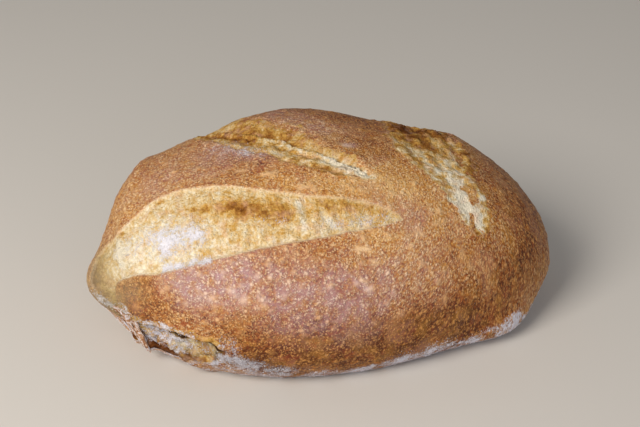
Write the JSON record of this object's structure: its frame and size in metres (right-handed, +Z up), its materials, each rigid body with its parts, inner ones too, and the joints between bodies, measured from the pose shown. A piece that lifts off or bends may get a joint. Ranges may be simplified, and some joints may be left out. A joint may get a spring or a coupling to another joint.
{
  "type": "sourdough loaf",
  "caption": "Hand-shaped oval hearth loaf with a browned domed crust, opened slanting scores, a torn foot seam and a flat floured base.",
  "frame": {"origin": "on the flat base, under the middle of the loaf's bounding box", "axes": "+X along the loaf from its nose to its tail, +Y from its front to its back, +Z up from the base"},
  "size_m": [0.2824, 0.1862, 0.1146],
  "materials": {
    "crust": null
  },
  "bodies": {
    "root": {"loaf": "crust"}
  },
  "joints": []
}
